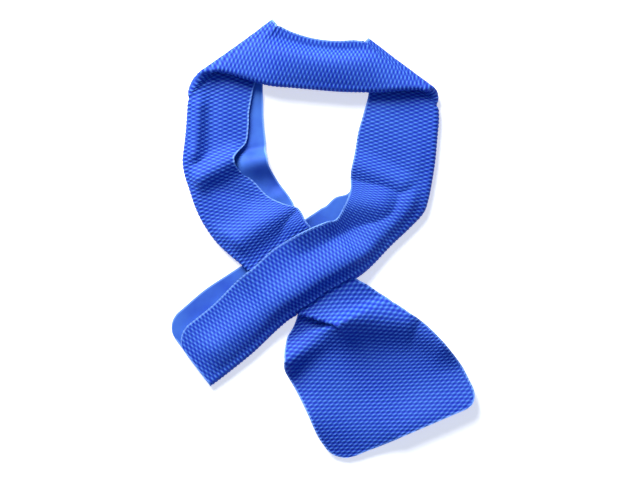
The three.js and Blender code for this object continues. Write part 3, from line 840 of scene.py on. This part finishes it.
def sheet_material(finish, sizes):
    """The sheet's look: its blue with painted shade in the valleys and a painted highlight on the
    bumps, a cloudy smooth face and a pale line along the cut edges."""
    material = bpy.data.materials.new("absorbent_sheet")
    material.use_nodes = True
    tree = material.node_tree
    shader = tree.nodes["Principled BSDF"]
    chain = Chain(tree)
    pattern = chain.node("ShaderNodeAttribute", attribute_name="pattern").outputs["Vector"]
    embossed = chain.node("ShaderNodeAttribute", attribute_name="embossed").outputs["Fac"]
    rim = chain.node("ShaderNodeAttribute", attribute_name="rim").outputs["Fac"]
    parts = chain.node("ShaderNodeSeparateXYZ", {0: pattern}).outputs
    bumps = chain.relief(
        parts["X"], parts["Y"], sizes.pitch_along, sizes.pitch_across, BUMP_SHARPNESS,
    )
    bumps = chain.math("MULTIPLY", bumps, embossed)
    smooth = chain.math("SUBTRACT", 1.0, embossed)
    cloudy = chain.math("MULTIPLY_ADD", smooth, SMOOTH_CLOUD_TONE, CLOUD_TONE)
    clouds = chain.math("MULTIPLY", chain.noise(CLOUD_SCALE, CLOUD_DETAIL), cloudy)
    # The tone puts painted shade in the valleys and a painted highlight on the bumps, and adds the
    # sheet's own cloudy tone.
    tone = chain.math("MULTIPLY_ADD", bumps, BUMP_SHADE_TONE, clouds)
    colour = chain.mixed(tone, (*finish.valley_shade_colour, 1), (*finish.bump_highlight_colour, 1))
    inward = chain.math("SUBTRACT", finish.edge_width, rim)
    near = chain.math("DIVIDE", inward, finish.edge_width / 2)
    near = chain.math("MINIMUM", chain.math("MAXIMUM", near, 0.0), 1.0)
    paleness = chain.math("MULTIPLY", near, finish.edge_paleness)
    colour = chain.mixed(paleness, colour, (*finish.edge_colour, 1))
    tree.links.new(colour, shader.inputs["Base Color"])
    pores = chain.noise(PORE_SCALE, PORE_DETAIL)
    least_rough = finish.roughness - PORE_ROUGHNESS / 2
    rough = chain.math("MULTIPLY_ADD", pores, PORE_ROUGHNESS, least_rough)
    tree.links.new(rough, shader.inputs["Roughness"])
    relief = {
        "Height": chain.math("MULTIPLY_ADD", pores, PORE_HEIGHT, bumps),
        "Strength": RELIEF_STRENGTH,
        "Distance": sizes.depth,
    }
    normal = chain.node("ShaderNodeBump", relief).outputs["Normal"]
    tree.links.new(normal, shader.inputs["Normal"])
    shader.inputs["Specular IOR Level"].default_value = SHEET_SPECULAR
    return material


def floor_material(stage):
    """A pale floor that glows a little, so that shadows on it are soft."""
    material = bpy.data.materials.new("studio_floor")
    material.use_nodes = True
    shader = material.node_tree.nodes["Principled BSDF"]
    shader.inputs["Base Color"].default_value = (*stage.floor_colour, 1)
    shader.inputs["Emission Color"].default_value = (*stage.glow_colour, 1)
    shader.inputs["Emission Strength"].default_value = stage.floor_glow
    shader.inputs["Roughness"].default_value = FLOOR_ROUGHNESS
    return material


# Settings, operators and panel.

class WrapEmbossing(bpy.types.PropertyGroup):
    pitch_along: FloatProperty(
        name="Pitch Along", description="Distance between bumps along the strip",
        default=0.0036, min=0.001, unit="LENGTH", precision=4,
    )
    pitch_across: FloatProperty(
        name="Pitch Across", description="Distance between bumps of one row across the strip",
        default=0.0086, min=0.001, unit="LENGTH", precision=4,
    )
    depth: FloatProperty(
        name="Depth", description="How far the bumps stand out of the sheet",
        default=0.0007, min=0.0, unit="LENGTH", precision=5,
    )


class WrapFinish(bpy.types.PropertyGroup):
    # Painted shade: the sheet's blue darkened in the valleys between the bumps.
    valley_shade_colour: FloatVectorProperty(
        name="Valley Colour", description="Colour between the bumps",
        default=(0.0, 0.004, 0.36), size=3, subtype="COLOR", min=0, max=1,
    )
    # Painted highlight: the sheet's blue lightened on top of the bumps.
    bump_highlight_colour: FloatVectorProperty(
        name="Bump Colour", description="Colour on top of the bumps",
        default=(0.09, 0.25, 0.68), size=3, subtype="COLOR", min=0, max=1,
    )
    edge_colour: FloatVectorProperty(
        name="Edge Colour", description="Colour of the cut edges",
        default=(0.24, 0.44, 0.90), size=3, subtype="COLOR", min=0, max=1,
    )
    edge_width: FloatProperty(
        name="Edge Width", description="Width of the pale line along the cut edges",
        default=0.0018, min=0.0001, unit="LENGTH", precision=4,
    )
    edge_paleness: FloatProperty(
        name="Edge Paleness", description="How much the cut edges show their own colour",
        default=0.65, min=0, max=1, subtype="FACTOR",
    )
    roughness: FloatProperty(
        name="Roughness", description="Roughness of the damp sheet", default=0.6, min=0.1, max=1,
        subtype="FACTOR",
    )


class WrapStage(bpy.types.PropertyGroup):
    floor_colour: FloatVectorProperty(
        name="Floor Colour", description="Colour of the plain floor",
        default=(0.93, 0.93, 0.93), size=3, subtype="COLOR", min=0, max=1,
    )
    camera_height: FloatProperty(
        name="Camera Height", description="Distance of the camera above the floor",
        default=2.4, min=0.5, unit="LENGTH",
    )
    key_power: FloatProperty(
        name="Key Light", description="Power of the large light at the upper left", default=78.0,
        min=0, unit="POWER",
    )
    fill_colour: FloatVectorProperty(
        name="Fill Colour", description="Colour of the light from all around",
        default=(0.24, 0.46, 1.0), size=3, subtype="COLOR", min=0, max=1,
    )
    glow_colour: FloatVectorProperty(
        name="Glow Colour", description="Colour of the light that comes through the floor",
        default=(1.0, 0.94, 0.80), size=3, subtype="COLOR", min=0, max=1,
    )
    floor_glow: FloatProperty(
        name="Floor Glow",
        description="How much the floor is lit from below, which softens shadows",
        default=0.58, min=0, max=1, subtype="FACTOR",
    )
    fill_strength: FloatProperty(
        name="Fill Light", description="Strength of the light from all around", default=0.40, min=0,
    )


class WRAP_OT_sheet(bpy.types.Operator):
    """Make the embossed sheet, folded and laid as an open neck loop"""

    bl_idname = "neck_wrap.sheet"
    bl_label = "Make Wrap Sheet"

    def execute(self, context):
        sizes = context.scene.wrap_embossing
        finish = context.scene.wrap_finish
        grid = embossed_grid(sizes.pitch_along / MM, sizes.pitch_across / MM)
        mesh, shift = sheet_mesh("neck_wrap_sheet", *grid, sizes.depth / MM)
        weld(mesh)
        piece = bpy.data.objects.new("neck_wrap_sheet", mesh)
        context.collection.objects.link(piece)
        material = sheet_material(finish, sizes)
        mesh.materials.append(material)
        tree, inputs = emboss_tree(sizes, material)
        made_plain(piece, tree, inputs)
        context.scene["wrap_shift"] = shift.tolist()
        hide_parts(SHEET_NODE)
        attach(piece, "root")
        return {"FINISHED"}


class WRAP_OT_stage(bpy.types.Operator):
    """Make the pale floor, the soft lights and the camera straight above"""

    bl_idname = "neck_wrap.stage"
    bl_label = "Make Stage"

    def execute(self, context):
        stage = context.scene.wrap_stage
        floor_mesh = bpy.data.meshes.new("floor")
        side = FLOOR_SIDE / 2
        floor_mesh.from_pydata(
            [(-side, -side, 0), (side, -side, 0), (side, side, 0), (-side, side, 0)],
            [], [(0, 1, 2, 3)],
        )
        floor_mesh.materials.append(floor_material(stage))
        floor = bpy.data.objects.new("floor", floor_mesh)
        context.collection.objects.link(floor)

        world = bpy.data.worlds.new("studio")
        world.use_nodes = True
        background = world.node_tree.nodes["Background"].inputs
        background["Color"].default_value = (*stage.fill_colour, 1)
        background["Strength"].default_value = stage.fill_strength
        context.scene.world = world
        context.scene.view_settings.view_transform = "Standard"

        key = bpy.data.lights.new("key", "AREA")
        key.shape = "DISK"
        key.size = KEY_SIZE
        key.energy = stage.key_power
        lamp = bpy.data.objects.new("key", key)
        lamp.location = KEY_PLACE
        lamp.rotation_euler = (-Vector(KEY_PLACE)).to_track_quat("-Z", "Y").to_euler()
        context.collection.objects.link(lamp)

        shift = context.scene["wrap_shift"]
        shown_width = PHOTO_WIDTH * PIXEL * MM
        lens = bpy.data.cameras.new("camera")
        lens.sensor_width = SENSOR_WIDTH
        lens.lens = SENSOR_WIDTH * stage.camera_height / shown_width
        camera = bpy.data.objects.new("camera", lens)
        camera.location = (
            ((PHOTO_CENTRE[0] - PHOTO_ORIGIN[0]) * PIXEL + shift[0]) * MM,
            ((PHOTO_ORIGIN[1] - PHOTO_CENTRE[1]) * PIXEL + shift[1]) * MM,
            stage.camera_height,
        )
        context.collection.objects.link(camera)
        context.scene.camera = camera
        return {"FINISHED"}


class WRAP_PT_sidebar(bpy.types.Panel):
    """Lists the wrap's settings, with a button for the sheet and one for the stage"""

    bl_idname = "WRAP_PT_sidebar"
    bl_label = "Neck Wrap"
    bl_space_type = "VIEW_3D"
    bl_region_type = "UI"
    bl_category = "Neck Wrap"

    def draw(self, context):
        layout = self.layout
        scene = context.scene
        for group in (scene.wrap_embossing, scene.wrap_finish, scene.wrap_stage):
            box = layout.box()
            for name in group.__annotations__:
                box.prop(group, name)
        layout.operator(WRAP_OT_sheet.bl_idname)
        layout.operator(WRAP_OT_stage.bl_idname)


CLASSES = (WrapEmbossing, WrapFinish, WrapStage, WRAP_OT_sheet, WRAP_OT_stage, WRAP_PT_sidebar)


def register():
    for kind in CLASSES:
        bpy.utils.register_class(kind)
    bpy.types.Scene.wrap_embossing = PointerProperty(type=WrapEmbossing)
    bpy.types.Scene.wrap_finish = PointerProperty(type=WrapFinish)
    bpy.types.Scene.wrap_stage = PointerProperty(type=WrapStage)


def unregister():
    del bpy.types.Scene.wrap_stage
    del bpy.types.Scene.wrap_finish
    del bpy.types.Scene.wrap_embossing
    for kind in reversed(CLASSES):
        bpy.utils.unregister_class(kind)


def main():
    register()
    bpy.ops.neck_wrap.sheet()
    bpy.ops.neck_wrap.stage()


if __name__ == "__main__":
    main()
